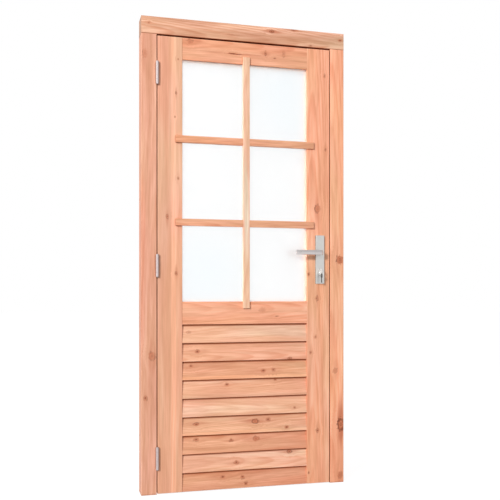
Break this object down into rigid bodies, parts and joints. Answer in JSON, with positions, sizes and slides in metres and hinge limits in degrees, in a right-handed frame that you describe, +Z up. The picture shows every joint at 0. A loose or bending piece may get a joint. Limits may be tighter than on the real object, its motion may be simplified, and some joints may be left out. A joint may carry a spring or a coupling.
{
  "type": "glazed timber door",
  "caption": "Timber door hung in its own frame: glass behind crossing bars above, lapped weatherboards below, with butt hinges, lever handles and a mortise lock.",
  "frame": {"origin": "floor level, in the middle of the frame's width and of the leaf's thickness", "axes": "X from the hinges to the lock seen from outside, Y inwards, Z up"},
  "size_m": [0.977, 0.146, 2.1709],
  "materials": {
    "frame_timber": "planed, untreated",
    "leaf_timber": "planed, untreated",
    "board_timber": "planed, untreated",
    "bar_timber": "planed, untreated",
    "glass": "clear float glass",
    "block_plastic": "moulded",
    "seal_rubber": "matt",
    "handle_aluminium": "satin anodised",
    "cylinder_nickel": "nickel plated",
    "hinge_steel": "zinc plated",
    "lock_steel": "zinc plated"
  },
  "bodies": {
    "frame": {"frame_head": "frame_timber", "hinge_jamb": "frame_timber", "strike_jamb": "frame_timber", "frame_corner_screws": "lock_steel", "weather_seal": "seal_rubber", "strike_plate": "lock_steel", "jamb_screws": "lock_steel", "hinge_top_frame_leaf": "hinge_steel", "hinge_middle_frame_leaf": "hinge_steel", "hinge_bottom_frame_leaf": "hinge_steel", "hinge_top_pin": "hinge_steel", "hinge_middle_pin": "hinge_steel", "hinge_bottom_pin": "hinge_steel"},
    "leaf": {"hinge_stile": "leaf_timber", "lock_stile": "leaf_timber", "top_rail": "leaf_timber", "middle_rail": "leaf_timber", "bottom_rail": "leaf_timber", "panel_batten_hinge_side": "leaf_timber", "panel_batten_lock_side": "leaf_timber", "weatherboard_1": "board_timber", "weatherboard_2": "board_timber", "weatherboard_3": "board_timber", "weatherboard_4": "board_timber", "weatherboard_5": "board_timber", "weatherboard_6": "board_timber", "weatherboard_7": "board_timber", "weatherboard_8": "board_timber", "weatherboard_9": "board_timber", "glass": "glass", "glazing_blocks": "block_plastic", "glazing_bead_bottom": "leaf_timber", "glazing_bead_lock_side": "leaf_timber", "glazing_bead_top": "leaf_timber", "glazing_bead_hinge_side": "leaf_timber", "bar_upright": "bar_timber", "bar_cross_1": "bar_timber", "bar_cross_2": "bar_timber", "hinge_top_door_leaf": "hinge_steel", "hinge_middle_door_leaf": "hinge_steel", "hinge_bottom_door_leaf": "hinge_steel", "leaf_screws": "lock_steel", "lock_case": "lock_steel", "lock_forend": "lock_steel", "cylinder_screw": "lock_steel", "outside_plate": "handle_aluminium", "inside_plate": "handle_aluminium", "handle_bolts": "lock_steel", "cylinder_body": "cylinder_nickel", "inside_plug": "cylinder_nickel"},
    "handle": {"outside_lever": "handle_aluminium", "inside_lever": "handle_aluminium", "spindle": "lock_steel", "follower": "lock_steel"},
    "latch": {"latch": "lock_steel"},
    "plug": {"cylinder_plug": "cylinder_nickel", "key": "cylinder_nickel", "key_ring": "cylinder_nickel", "spare_key": "cylinder_nickel"},
    "deadbolt": {"deadbolt": "lock_steel"}
  },
  "joints": [
    {"name": "door_swing", "type": "hinge", "parent": "frame", "child": "leaf", "pos_m": [-0.41675, -0.0275, 0], "axis": [0, 0, -1], "range_deg": [0, 170]},
    {"name": "lever_turn", "type": "hinge", "parent": "leaf", "child": "handle", "pos_m": [0.365, 0, 1.108], "axis": [0, -1, 0], "range_deg": [0, 40], "stiffness_Nm_per_rad": 1.5, "springref_deg": -20.05},
    {"name": "latch_slide", "type": "slide", "parent": "leaf", "child": "latch", "axis": [-1, 0, 0], "range_m": [0, 0.012]},
    {"name": "cylinder_turn", "type": "hinge", "parent": "leaf", "child": "plug", "pos_m": [0.365, 0, 1.023], "axis": [0, 1, 0], "range_deg": [0, 360]},
    {"name": "deadbolt_slide", "type": "slide", "parent": "leaf", "child": "deadbolt", "axis": [1, 0, 0], "range_m": [0, 0.02]}
  ],
  "couplings": [
    {"joint": "latch_slide", "follows": "lever_turn", "m_per_rad": 0.017189},
    {"joint": "deadbolt_slide", "follows": "cylinder_turn", "m_per_rad": 0.0031831}
  ]
}
